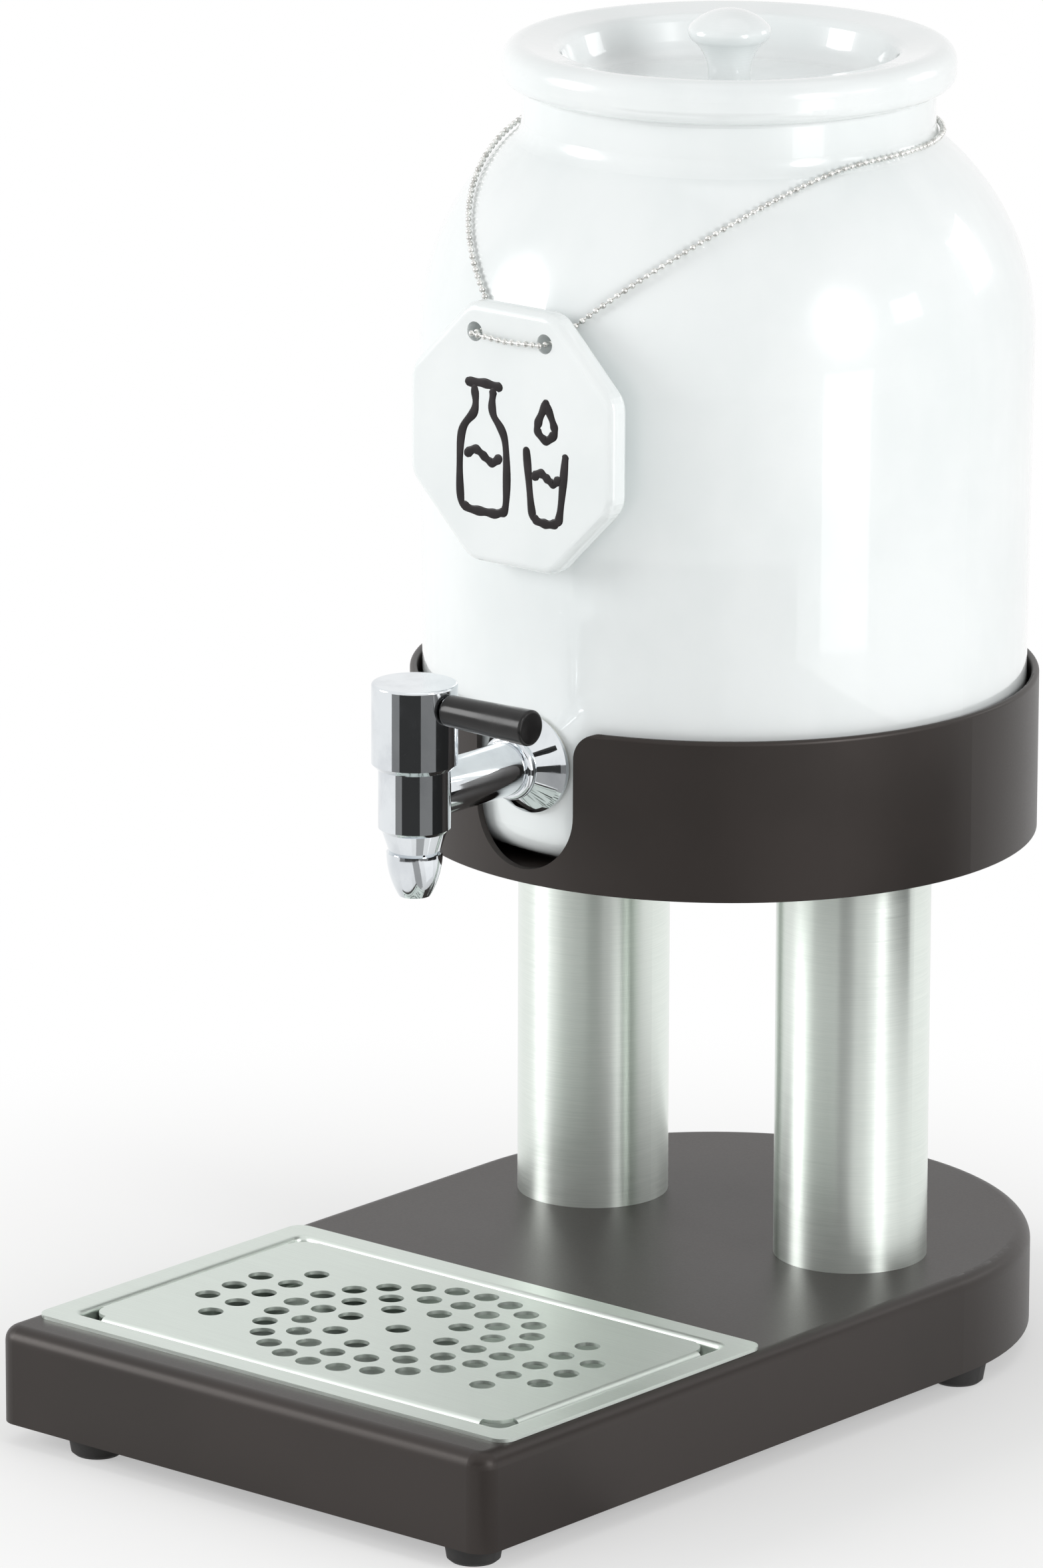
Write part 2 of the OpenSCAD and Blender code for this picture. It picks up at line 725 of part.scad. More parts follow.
// Sheet folded down along two sides: w over the folds, l long
module folded_sheet(w, l, h) {
  inner_r = grid_bend_r - grid_sheet;
  rotate([90, 0, 0]) translate([0, 0, -l / 2]) linear_extrude(l) difference() {
    union() {
      translate([-w / 2, 0]) square([w, h - grid_bend_r]);
      translate([grid_bend_r - w / 2, 0]) square([w - 2 * grid_bend_r, h]);
      for (x = [-1, 1]) translate([x * (w / 2 - grid_bend_r), h - grid_bend_r]) circle(grid_bend_r);
    }
    translate([grid_sheet - w / 2, -overrun])
      square([w - 2 * grid_sheet, h - grid_bend_r + overrun]);
    translate([grid_bend_r - w / 2, -overrun])
      square([w - 2 * grid_bend_r, h - grid_sheet + overrun]);
    for (x = [-1, 1]) translate([x * (w / 2 - grid_bend_r), h - grid_bend_r]) circle(inner_r);
  }
}

// Places of the drain holes: rings round a middle hole, and short straight rows at both sides
function grid_holes() = concat(
  [[0, 0]],
  [for (k = [0 : len(ring_holes) - 1], i = [0 : ring_holes[k] - 1])
    (ring_first_r + k * ring_step) * [cos(360 * i / ring_holes[k]), sin(360 * i / ring_holes[k])]],
  [for (x = [-1, 1], k = [0 : len(row_holes) - 1], i = [0 : row_holes[k] - 1])
    [x * (row_x + k * row_pitch), (i - (row_holes[k] - 1) / 2) * row_pitch]]);

module drip_grid() {
  h = pan_depth - grid_seat;
  flat_r = grid_corner_r - grid_bend_r;
  color(steel) translate([0, tray_y, pan_floor + grid_seat]) difference() {
    union() {
      folded_sheet(grid_w, grid_l - 2 * grid_corner_r, h);
      rotate(90) folded_sheet(grid_l, grid_w - 2 * grid_corner_r, h);
      translate([0, 0, h - grid_sheet]) linear_extrude(grid_sheet)
        round_rect(grid_w - 2 * grid_bend_r, grid_l - 2 * grid_bend_r, flat_r);
    }
    for (place = grid_holes()) translate([place.x, place.y, h - grid_sheet - overrun])
      cylinder(d = hole_d, h = grid_sheet + 2 * overrun);
  }
}

// Half section of the jar's body, shoulder and neck, drawn in by inset, up to a height
module jar_section(inset, top) {
  foot = jar_foot_r - inset;
  low = jar_z + inset;
  polygon([[0, low + foot], [jar_low_r - inset, low + foot],
           [jar_high_r - inset, shoulder_z], [0, shoulder_z]]);
  turned_rect(jar_low_r - inset - foot, low, low + foot);
  intersection() {
    translate([jar_low_r - inset - foot, low + foot]) circle(foot);
    translate([0, low]) square([jar_low_r, foot]);
  }
  intersection() {
    translate([jar_high_r - shoulder_r, shoulder_z]) circle(shoulder_r - inset);
    turned_rect(jar_high_r, shoulder_z, neck_z);
  }
  turned_rect(neck_r - inset, shoulder_z, top);
}

// Half section of the hollow that runs from the shoulder into the neck
module hollow_section(inset) {
  inner_bend = shoulder_r - inset - overrun;
  inner_neck = neck_r - inset - overrun;
  difference() {
    polygon([[inner_neck, neck_z], [neck_r + neck_fillet_r, neck_z],
             [jar_high_r - shoulder_r + inner_bend * cos(bend_a), shoulder_z + inner_bend * sin(bend_a)],
             [inner_neck, shoulder_z + inner_bend * sin(bend_a)]]);
    translate([neck_r + neck_fillet_r, neck_z]) circle(neck_fillet_r + inset + blend_bite);
  }
}

// Jar without its lip as a solid, drawn in by inset, up to a height
module jar_form(inset, top) {
  rotate_extrude() jar_section(inset, top);
  rotate_extrude() hollow_section(inset);
}

// Half section of the thick lip round the mouth, with a round lower edge
module lip_section() {
  inner_r = neck_r - jar_wall;
  round_c = [lip_r - lip_round_r, lip_z + lip_round_r];
  translate([inner_r, lip_z]) square([round_c.x - inner_r, lip_h]);
  translate([inner_r, round_c.y]) square([lip_r - inner_r, mouth_z - round_c.y]);
  intersection() {
    translate(round_c) circle(lip_round_r);
    translate([inner_r, lip_z]) square([lip_r - inner_r, lip_round_r]);
  }
}

// Half section of the hollow that runs from the neck into the lip
module lip_hollow_section() {
  inner_r = neck_r - jar_wall;
  hollow = [neck_r + lip_fillet_r, lip_z - lip_fillet_r];
  difference() {
    translate([inner_r, hollow.y]) square([hollow.x - inner_r, lip_fillet_r + blend_bite]);
    translate(hollow) circle(lip_fillet_r + blend_bite);
  }
}

module jar() {
  color(porcelain) difference() {
    on_axis() difference() {
      union() {
        jar_form(0, mouth_z);
        rotate_extrude() lip_section();
        rotate_extrude() lip_hollow_section();
      }
      jar_form(jar_wall, mouth_z + overrun);
      translate([0, 0, jar_z - overrun])
        cylinder(r = jar_low_r - jar_recess_inset, h = jar_recess_h + overrun);
    }
    along_y(jar_front - overrun) cylinder(d = jar_bore_d, h = jar_wall + 2 * overrun);
  }
}

// Half section of the knob: a stem that flares out to a rounded, domed button
module knob_section() {
  edge = [knob_r - knob_edge_r, knob_wide_z];
  crown_r = (pow(edge.x, 2) + pow(knob_crown_h, 2) - pow(knob_edge_r, 2))
    / (2 * (knob_crown_h - knob_edge_r));
  crown_c = knob_top_z - crown_r;
  crown_a = atan2(edge.y - crown_c, edge.x);
  flare_a = acos((knob_stem_r + knob_flare_r - edge.x) / (knob_flare_r + knob_edge_r));
  flare_z = edge.y - (knob_flare_r + knob_edge_r) * sin(flare_a);
  polygon(concat(
    [[0, dish_z - lid_t / 2], [knob_stem_r, dish_z - lid_t / 2]],
    arc([knob_stem_r + knob_flare_r, flare_z], knob_flare_r, 180, 180 - flare_a),
    arc(edge, knob_edge_r, -flare_a, crown_a),
    arc([0, crown_c], crown_r, crown_a, 90)));
}

// Half section of the lid before its dish is hollowed: collar, body and broad rim
module lid_section() {
  polygon([[0, dish_z - lid_t], [lid_collar_in, dish_z - lid_t], [lid_collar_in, lid_collar_z],
           [lid_collar_r, lid_collar_z], [lid_collar_r, mouth_z], [lip_r, mouth_z], [lip_r, roll_z], roll_c,
           roll_c + (roll_r - blend_bite) * rim_up, rim_c + (rim_edge_r - blend_bite) * rim_up,
           [rim_c.x, wall_top.y], [0, wall_top.y]]);
  translate(rim_c) circle(rim_edge_r);
  translate(roll_c) intersection() {
    circle(roll_r);
    translate([-roll_r, 0]) square([2 * roll_r, roll_r]);
  }
}

// Half section of the dish's hollow: a flat floor, a round corner and a leaning wall
module dish_section() {
  wall_low = fillet_c + dish_fillet_r * wall_out;
  wall_end = wall_top + (rim_fall + 2 * rim_edge_r) * wall_up;
  polygon([[0, dish_z], [fillet_c.x, dish_z], fillet_c, wall_low, wall_end, [0, wall_end.y]]);
  translate(fillet_c) circle(dish_fillet_r + blend_bite);
}

module lid() {
  color(porcelain) on_axis() rotate_extrude() {
    difference() {
      lid_section();
      dish_section();
    }
    knob_section();
  }
}

// Jar's flank as a solid cone, grown outwards
module jar_flank(grow) {
  on_axis() translate([0, 0, jar_low_z])
    cylinder(r1 = jar_low_r + grow, r2 = jar_high_r + grow, h = shoulder_z - jar_low_z, $fn = 4 * $fn);
}

module tap_body() {
  pipe_end = jar_front - gasket_t;
  tail_end = gasket_flat + inner_washer_t + nut_h + tail_past_nut;
  barrel_low_r = spigot_d / 2 + barrel_wall;
  color(chrome) difference() {
    union() {
      on_tap() rotate_extrude() {
        polygon([[0, seam_z], [barrel_low_r, seam_z], [barrel_d / 2 - barrel_round, seam_z + barrel_taper_h],
                 [barrel_d / 2, seam_z + barrel_taper_h + barrel_round],
                 [barrel_d / 2, barrel_top], [0, barrel_top]]);
        turned_rect(shaft_d / 2, barrel_top, shaft_top);
      }
      along_y(tap_y) cylinder(d = pipe_d, h = pipe_end - tap_y);
      along_y(tap_y) cylinder(d = tail_d, h = tail_end - tap_y);
    }
    along_y(tap_y) cylinder(d = milk_bore_d, h = tail_end - tap_y + overrun);
    on_tap() rotate_extrude() {
      turned_rect(spigot_d / 2 + seat_gap, seam_z - overrun, seam_z + spigot_h);
      turned_rect(seat_d / 2, seam_z, seat_z);
      turned_rect(chamber_d / 2, seat_z, chamber_top);
      turned_rect(stem_d / 2 + run_gap, chamber_top, shaft_top + overrun);
      translate([stem_d / 2 + stem_ring_wire / 2, stem_ring_z])
        square(stem_ring_wire + seat_gap, center = true);
    }
  }
}

module tap_nozzle() {
  drop = (nozzle_d - nozzle_tip_d) / 2;
  bow_r = (pow(nozzle_h, 2) + pow(drop, 2)) / (2 * drop);
  color(chrome) on_tap() rotate_extrude() difference() {
    union() {
      intersection() {
        translate([nozzle_d / 2 - bow_r, seam_z]) circle(bow_r, $fn = 4 * $fn);
        turned_rect(nozzle_d / 2, seam_z - nozzle_h, seam_z);
      }
      turned_rect(spigot_d / 2, seam_z, seam_z + spigot_h);
    }
    turned_rect(spout_d / 2, seam_z - nozzle_h - overrun, seam_z + spigot_h + overrun);
  }
}

module tap_collar() {
  flat_r = collar_d / 2 - collar_round;
  color(chrome) along_y(jar_front - gasket_t - rosette_h - collar_w) rotate_extrude() difference() {
    union() {
      turned_rect(collar_d / 2, collar_round, collar_w - collar_round);
      turned_rect(flat_r, 0, collar_w);
      for (y = [collar_round, collar_w - collar_round]) translate([flat_r, y]) circle(collar_round);
    }
    turned_rect(pipe_d / 2 + seat_gap, -overrun, collar_w + overrun);
  }
}

module tap_rosette() {
  bore_r = pipe_d / 2 + seat_gap;
  back = rosette_h + gasket_t + rosette_sag;
  color(chrome) difference() {
    along_y(jar_front - gasket_t - rosette_h) rotate_extrude() polygon([
      [bore_r, 0], [collar_d / 2 - collar_round, 0], [rosette_d / 2 - rosette_brim, rosette_h - rosette_brim],
      [rosette_d / 2, rosette_h], [rosette_d / 2, back], [bore_r, back]]);
    jar_flank(gasket_t);
  }
}

module outer_gasket() {
  bore_r = pipe_d / 2 + seat_gap;
  reach = gasket_t + rosette_sag + overrun;
  color(seal_grey) difference() {
    along_y(jar_front - reach) difference() {
      cylinder(d = rosette_d - gasket_t, h = 2 * reach);
      translate([0, 0, -overrun]) cylinder(r = bore_r, h = 2 * reach + 2 * overrun);
    }
    jar_flank(0);
    difference() {
      translate([-rosette_d, jar_front - rosette_d, tap_z - rosette_d])
        cube([2 * rosette_d, 2 * rosette_d, 2 * rosette_d]);
      jar_flank(gasket_t);
    }
  }
}

module inner_gasket() {
  bore_r = tail_d / 2 + seat_gap;
  color(seal_grey) intersection() {
    along_y(jar_front) difference() {
      cylinder(d = inner_gasket_d, h = gasket_flat - jar_front);
      translate([0, 0, -overrun]) cylinder(r = bore_r, h = gasket_flat - jar_front + 2 * overrun);
    }
    jar_flank(-jar_wall);
  }
}

module inner_washer() {
  color(steel) along_y(gasket_flat) difference() {
    cylinder(d = inner_gasket_d, h = inner_washer_t);
    translate([0, 0, -overrun]) cylinder(r = tail_d / 2 + seat_gap, h = inner_washer_t + 2 * overrun);
  }
}

module lock_nut() {
  color(steel) along_y(gasket_flat + inner_washer_t) difference() {
    cylinder(d = nut_w / cos(30), h = nut_h, $fn = 6);
    translate([0, 0, -overrun]) cylinder(r = tail_d / 2 + seat_gap, h = nut_h + 2 * overrun);
  }
}

module tap_head() {
  color(chrome) on_tap() difference() {
    rotate_extrude() difference() {
      union() {
        polygon([[0, head_z], [head_d / 2 - head_chamfer, head_z], [head_d / 2, head_z + head_chamfer],
                 [head_d / 2, head_top - head_round], [0, head_top - head_round]]);
        turned_rect(head_d / 2 - head_round, head_top - head_round, head_top);
        translate([head_d / 2 - head_round, head_top - head_round]) circle(head_round);
      }
      turned_rect(barrel_d / 2 + head_face_gap, head_z - overrun, barrel_top + head_face_gap);
      turned_rect(shaft_d / 2 + run_gap, head_z, shaft_top + head_face_gap);
      turned_rect(thread_d / 2 + run_gap, head_z, thread_z + thread_h + valve_lift + thread_room);
    }
    translate([stud_in, 0, lever_z]) rotate([0, 90, 0]) cylinder(d = stud_d + 2 * seat_gap, h = head_d / 2);
  }
}

module lever_stud() {
  color(steel) on_tap() translate([stud_in, 0, lever_z]) rotate([0, 90, 0])
    cylinder(d = stud_d, h = lever_x + stud_grip - stud_in - end_gap);
}

module lever_grip() {
  root = lever_root_d / 2 - lever_round;
  tip = lever_tip_d / 2 - lever_round;
  lean = asin((tip - root) / (lever_l - 2 * lever_round));
  color(black) on_tap() translate([lever_x, 0, lever_z]) rotate([0, 90, 0]) rotate_extrude() difference() {
    polygon(concat([[0, 0]], arc([root, lever_round], lever_round, -90, -lean, 6),
                   arc([tip, lever_l - lever_round], lever_round, -lean, 90, 6), [[0, lever_l]]));
    turned_rect(stud_d / 2 + seat_gap, -overrun, stud_grip);
  }
}

module valve_stem() {
  low = seat_z + seal_t / 2;
  color(steel) on_tap() rotate_extrude() {
    turned_rect(stem_d / 2, low, thread_z);
    turned_rect(thread_d / 2, thread_z, thread_z + thread_h);
  }
}

module valve_seal() {
  color(black) on_tap() rotate_extrude() difference() {
    turned_rect(seal_d / 2, seat_z, seat_z + seal_t);
    turned_rect(stem_d / 2, seat_z + seal_t / 2, seat_z + seal_t + overrun);
  }
}

module stem_ring() {
  color(black) on_tap() rotate_extrude() translate([stem_d / 2 + run_gap + stem_ring_wire / 2, stem_ring_z])
    circle(d = stem_ring_wire - 2 * run_gap);
}

// Round disc with softened edges, laid flat
module sign_corner() {
  rotate_extrude() {
    square([sign_corner_r - sign_edge_r, sign_t]);
    translate([0, sign_edge_r]) square([sign_corner_r, sign_t - 2 * sign_edge_r]);
    for (y = [sign_edge_r, sign_t - sign_edge_r])
      translate([sign_corner_r - sign_edge_r, y]) circle(sign_edge_r);
  }
}

module sign_plate() {
  reach = (sign_w / 2 - sign_corner_r) / cos(22.5);
  color(porcelain) difference() {
    translate([0, sign_y + sign_t / 2, sign_z]) rotate([90, 0, 0]) hull()
      for (i = [0 : 7]) rotate(45 * i + 22.5) translate([reach, 0, 0]) sign_corner($fn = 32);
    for (x = [-1, 1]) translate([x * sign_hole_gap / 2, sign_y + sign_t, sign_hole_z]) rotate([90, 0, 0])
      cylinder(d = sign_hole_d, h = 2 * sign_t);
  }
}

// Point on the chain's route over the jar, at an angle from the front and a height
function chain_point(a, z, off = chain_off) =
  [jar_r(z, -off) * sin(a), axis_y - jar_r(z, -off) * cos(a), z];

// Height of a strand over the shoulder: it leaves the neck gently and drops steeply to the sign
function strand_z(t) =
  let (share = strand_end_share + (1 - strand_end_share) * (1 - pow(t, strand_power)))
  sign_hole_z + (chain_z - sign_hole_z) * share;

// How far the chain's middle stands off the neck: on the sleeve's axis at the back, then settling on the neck
function back_off(i) = chain_off + (clasp_off - chain_off) * min(1, max(0, 2 - i / clasp_steps));

// Right half of the route: round the back of the neck, over the shoulder, through the sign, to its middle
function half_route() = concat(
  [for (i = [0 : strand_steps - 1]) chain_point(180 - 90 * i / strand_steps, chain_z, back_off(i))],
  [for (i = [0 : strand_steps])
    chain_point(90 + (strand_end_a - 90) * i / strand_steps, strand_z(i / strand_steps))],
  [[sign_hole_gap / 2, sign_y, sign_hole_z],
   [sign_hole_gap / 2 - bead_d / 4, sign_y - chain_front, sign_hole_z - chain_sag / 4],
   [0, sign_y - chain_front, sign_hole_z - chain_sag]]);

// Route as rows of distance from the start and place
function measured(points) =
  [for (i = 0, s = 0; i < len(points);
        i = i + 1, s = i < len(points) ? s + norm(points[i] - points[i - 1]) : s) [s, points[i]]];

// Place at a distance along a measured route
function place_at(rows, s) =
  [for (k = [0 : 2]) lookup(s, [for (row = rows) [row[0], row[1][k]]])];

// Beads of the right half, from inside the sleeve at the back to the middle of the sign
function half_beads() =
  let (rows = measured(half_route()), start = bead_pitch / 2, length = rows[len(rows) - 1][0] - start,
       count = round(length / bead_pitch))
  [for (i = [0 : count]) place_at(rows, start + length * i / count)];

// Short wire between two beads
module link(a, b) {
  d = b - a;
  inset = bead_d / 2 + link_gap;
  translate(a) rotate([0, acos(d.z / norm(d)), atan2(d.y, d.x)]) translate([0, 0, inset])
    cylinder(d = link_d, h = norm(d) - 2 * inset, $fn = 14);
}

module bead_chain() {
  beads = half_beads();
  last = len(beads) - 1;
  color(steel) for (side = [0, 1]) mirror([side, 0, 0]) {
    for (i = [0 : last - side]) translate(beads[i]) sphere(d = bead_d, $fn = 14);
    for (i = [0 : last - 1]) link(beads[i], beads[i + 1]);
  }
}

module chain_clasp() {
  back = chain_point(180, chain_z, clasp_off);
  color(steel) translate(back - [clasp_l / 2, 0, 0]) rotate([0, 90, 0]) difference() {
    cylinder(d = clasp_d, h = clasp_l);
    translate([0, 0, -overrun]) cylinder(d = clasp_d - 2 * clasp_wall, h = clasp_l + 2 * overrun);
  }
}

base_shell();
base_cover();
rubber_feet();
foot_screws();
left_post();
right_post();
top_plugs();
bottom_plugs();
base_bolts();
base_washers();
cradle();
cradle_screws();
jar_pad();
drip_tray();
drip_grid();
jar();
lid();
tap_body();
tap_nozzle();
tap_collar();
tap_rosette();
outer_gasket();
inner_gasket();
inner_washer();
lock_nut();
tap_head();
lever_stud();
lever_grip();
valve_stem();
valve_seal();
stem_ring();
sign_plate();
bead_chain();
chain_clasp();
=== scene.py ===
# %% [markdown]
# # Dressing a milk dispenser
# The solids of the dispenser arrive as a fixed frame: a painted stand, two steel posts, a porcelain jar, a chrome
# tap, a drip tray and a sign on a bead chain. This lesson gives every piece its finish, draws the ink motif on the
# sign, and then builds a small studio with a camera. Nothing of the frame is moved or resized.

# %% Load the frame
import math
import bmesh
import bpy
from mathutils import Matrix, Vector


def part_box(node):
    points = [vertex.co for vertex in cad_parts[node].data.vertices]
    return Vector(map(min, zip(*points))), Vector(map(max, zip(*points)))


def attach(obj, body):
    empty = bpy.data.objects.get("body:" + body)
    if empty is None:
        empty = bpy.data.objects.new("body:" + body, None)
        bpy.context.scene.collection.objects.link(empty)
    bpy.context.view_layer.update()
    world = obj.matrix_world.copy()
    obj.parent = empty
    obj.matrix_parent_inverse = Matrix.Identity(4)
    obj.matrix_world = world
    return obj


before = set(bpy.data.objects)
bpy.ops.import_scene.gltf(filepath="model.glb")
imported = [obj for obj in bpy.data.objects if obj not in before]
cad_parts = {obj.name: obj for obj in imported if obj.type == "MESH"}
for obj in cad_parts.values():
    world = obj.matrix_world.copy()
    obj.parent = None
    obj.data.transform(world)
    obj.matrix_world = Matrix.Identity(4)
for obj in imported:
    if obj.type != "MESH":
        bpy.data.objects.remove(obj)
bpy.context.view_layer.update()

MM = 0.001

# %% [markdown]
# ## Writing shaders as sums
# A finish is a small calculation: some noise, stretched, weighed and added to a colour. Wiring that by hand takes
# many lines, so a socket is wrapped in a class that knows Python's operators. Then `0.3 + 0.1 * grain` makes the Math
# nodes by itself. The reflected forms let a plain number stand on the left, as in `1 - mask`. Every other node comes
# from one method, which sets a node's settings first and then its sockets.

# %% A socket that can be added and multiplied
class Wire:
    """An output socket of a node graph, with Python's operators."""

    def __init__(self, graph, socket):
        self.graph = graph
        self.socket = socket

    def math(self, operation, *others):
        values = dict(enumerate((self, *others)))
        return self.graph.add("Math", {"operation": operation}, values)

    def __add__(self, other):
        return self.math("ADD", other)

    def __mul__(self, other):
        return self.math("MULTIPLY", other)

    def __sub__(self, other):
        return self.math("SUBTRACT", other)

    def __rsub__(self, other):
        return self.graph.add("Math", {"operation": "SUBTRACT"}, {0: other, 1: self})

    __radd__ = __add__
    __rmul__ = __mul__


class Graph:
    """A node tree whose nodes all come from one method."""

    def __init__(self, tree):
        self.tree = tree

    def plug(self, socket, value):
        if isinstance(value, Wire):
            self.tree.links.new(value.socket, socket)
        else:
            socket.default_value = value

    def add(self, kind, settings=None, sockets=None, out=0):
        """One node: its settings are set first, then its sockets get values or links."""
        node = self.tree.nodes.new("ShaderNode" + kind)
        for name, value in (settings or {}).items():
            setattr(node, name, value)
        for key, value in (sockets or {}).items():
            self.plug(node.inputs[key], value)
        return Wire(self, node.outputs[out])


print("shader sums: + - * on sockets, other nodes from Graph.add")

# %% [markdown]
# ## Noise, steps and mixes
# A few small recipes serve every finish. Noise in object coordinates is measured in metres, so a stretch of 1000 per
# metre gives millimetre grain. A step turns a rising value into a soft mask. A mix blends two colours by a mask, and
# a span does the same with two numbers. A Mix node has sockets for numbers, vectors and colours under the same names,
# so its colour sockets are picked by number.

# %% Recipes that every finish shares
MIX_MASK, MIX_FIRST, MIX_SECOND, MIX_RESULT = 0, 6, 7, 2


class Finish(Graph):
    """A procedural material. Plain numbers and colours go straight to the shader's own sockets."""

    def __init__(self, name, constants=None):
        self.material = bpy.data.materials.new(name)
        self.material.use_nodes = True
        super().__init__(self.material.node_tree)
        self.shader = self.tree.nodes["Principled BSDF"]
        for socket, value in (constants or {}).items():
            self.set(socket, value)

    def set(self, socket, value):
        self.plug(self.shader.inputs[socket], value)

    def place(self):
        return self.add("TexCoord", out="Object")

    def axis(self, letter):
        return self.add("SeparateXYZ", None, {"Vector": self.place()}, out=letter)

    def noise(self, stretch, detail=2.0, roughness=0.5):
        spread = self.add("VectorMath", {"operation": "MULTIPLY"}, {0: self.place(), 1: stretch})
        return self.add("TexNoise", None, {"Vector": spread, "Scale": 1.0, "Detail": detail, "Roughness": roughness})

    def step(self, value, low, high):
        return self.add("MapRange", {"interpolation_type": "SMOOTHSTEP"},
                        {"Value": value, "From Min": low, "From Max": high})

    def mix(self, mask, first, second):
        colours = {MIX_MASK: mask, MIX_FIRST: first, MIX_SECOND: second}
        return self.add("Mix", {"data_type": "RGBA"}, colours, out=MIX_RESULT)

    def span(self, ends, mask):
        return ends[0] + (ends[1] - ends[0]) * mask

    def bump(self, height, depth):
        self.set("Normal", self.add("Bump", None, {"Strength": 1.0, "Distance": depth, "Height": height}))


print("recipes:", [name for name in vars(Finish) if not name.startswith("_")])

# %% [markdown]
# Colours are easiest to judge as a screen shows them, from 0 to 255, but a shader takes linear light, so one helper
# turns the first into the second. Another puts a finish on the pieces that carry it.

# %% Colours, even grain and dressing
def colour(red, green, blue):
    """A colour as seen on a screen, from 0 to 255, as the linear values that a shader takes."""
    shares = [c / 255 for c in (red, green, blue)]
    return tuple(((c + 0.055) / 1.055) ** 2.4 if c > 0.04045 else c / 12.92 for c in shares) + (1.0,)


def even(scale):
    """The same stretch of a noise along every axis."""
    return (scale, scale, scale)


def wear(finish, *nodes):
    """Dresses CAD nodes in a finish, in place of the plain colours that they came with."""
    for name in nodes:
        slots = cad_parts[name].data.materials
        slots.clear()
        slots.append(finish.material)
    print(finish.material.name, "on", ", ".join(nodes))


print("mid grey on a screen is", round(colour(128, 128, 128)[0], 3), "in linear light")

# %% [markdown]
# ## Porcelain
# The jar, lid and sign are slip-cast porcelain under a clear white glaze. A plain white would look like plastic: what
# tells porcelain is the thick, slightly wavy glaze, which makes the edges of every reflection wander. So a coat lies
# over a softer white, and two waves of bump, one broad and one fine, stand for the flow of the glaze. The foot ring
# is wiped clean before firing, so it stays dull: a mask by height picks it out.

# %% White glaze for the jar, lid and sign
GLAZE_WHITE = colour(241, 245, 245)
GLAZE_SHADE = colour(235, 240, 240)
BISCUIT = colour(214, 208, 196)
WAVE_BROAD = (26.0, 26.0, 18.0)
WAVE_FINE = (150.0, 150.0, 110.0)
FINE_SHARE = 0.16
GLAZE_ROUGH = (0.16, 0.26)
BISCUIT_ROUGHER = 0.5
GLAZE_DEPTH = 0.25 * MM
FOOT_RING = 0.6 * MM


def porcelain(name, dull_below=None):
    finish = Finish(name, {"Coat Roughness": 0.03, "IOR": 1.5})
    flow = finish.noise(WAVE_BROAD, detail=3.0)
    ripple = finish.noise(WAVE_FINE)
    tone = finish.mix(finish.step(flow, low=0.35, high=0.7), GLAZE_WHITE, GLAZE_SHADE)
    rough = finish.span(GLAZE_ROUGH, ripple)
    gloss = 1.0
    if dull_below is not None:
        glazed = finish.step(finish.axis("Z"), dull_below, dull_below + FOOT_RING)
        tone = finish.mix(glazed, BISCUIT, tone)
        rough = rough + BISCUIT_ROUGHER * (1 - glazed)
        gloss = glazed
    finish.set("Base Color", tone)
    finish.set("Roughness", rough)
    finish.set("Coat Weight", gloss)
    finish.bump(flow + FINE_SHARE * ripple, GLAZE_DEPTH)
    return finish


jar_low, jar_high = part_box("jar")
wear(porcelain("jar_glaze", jar_low[2]), "jar")
wear(porcelain("lid_glaze"), "lid")
wear(porcelain("sign_glaze"), "sign_plate")

# %% [markdown]
# ## Painted steel
# The base, its cover and the cradle are folded sheet with a baked satin paint, a dark brown-grey. Powder paint never
# dries quite flat: it keeps a skin of fine dimples that breaks the highlights up. Fine noise drives the bump and a
# little of the roughness, and a slow noise shifts the tone so that the large top isn't one dead colour. The specular
# tint is a trace of warmth, because even the sheen of this paint looks brown beside steel.

# %% Satin paint for the stand
PAINT = colour(37, 33, 31)
PAINT_PALE = colour(43, 38, 36)
PAINT_SHEEN = colour(255, 247, 242)
DIMPLES = even(1500.0)
CLOUDS = even(14.0)
PAINT_ROUGH = 0.33
PAINT_VARIES = 0.07
DIMPLE_DEPTH = 0.008 * MM


def satin_paint():
    finish = Finish("satin_paint", {"Specular IOR Level": 0.4, "Specular Tint": PAINT_SHEEN})
    dimples = finish.noise(DIMPLES, detail=1.0)
    clouds = finish.noise(CLOUDS, detail=3.0)
    finish.set("Base Color", finish.mix(finish.step(clouds, low=0.35, high=0.65), PAINT, PAINT_PALE))
    finish.set("Roughness", PAINT_ROUGH + PAINT_VARIES * clouds + PAINT_VARIES * dimples)
    finish.bump(dimples, DIMPLE_DEPTH)
    return finish


wear(satin_paint(), "base_shell", "base_cover", "cradle")

# %% [markdown]
# ## Brushed stainless steel
# The posts are tube, polished with a belt while they turn, so their scratches run round and round. The tray and grid
# are cut from sheet with a grain along its length. Both are the same steel with noise stretched along the grain: long
# in one direction, a few hundredths of a millimetre across the other. The grain drives the roughness, so each scratch
# catches the light in its own way, and a low bump spreads the highlights across the grain. On the posts the shader's
# own anisotropy draws the highlights out along the tube as well.

# %% Brushed steel with a grain direction
TUBE_TONES = (colour(223, 230, 224), colour(233, 239, 233))
SHEET_TONES = (colour(206, 213, 207), colour(217, 224, 218))
AROUND = (60.0, 60.0, 5200.0)
ALONG_X = (45.0, 4200.0, 4200.0)
HAZE = even(18.0)
HAZE_ROUGHER = 0.06
QUARTER_TURN = 0.25
SCRATCH_DEPTH = 0.0008 * MM
POST_SCRATCH_DEPTH = 0.0004 * MM


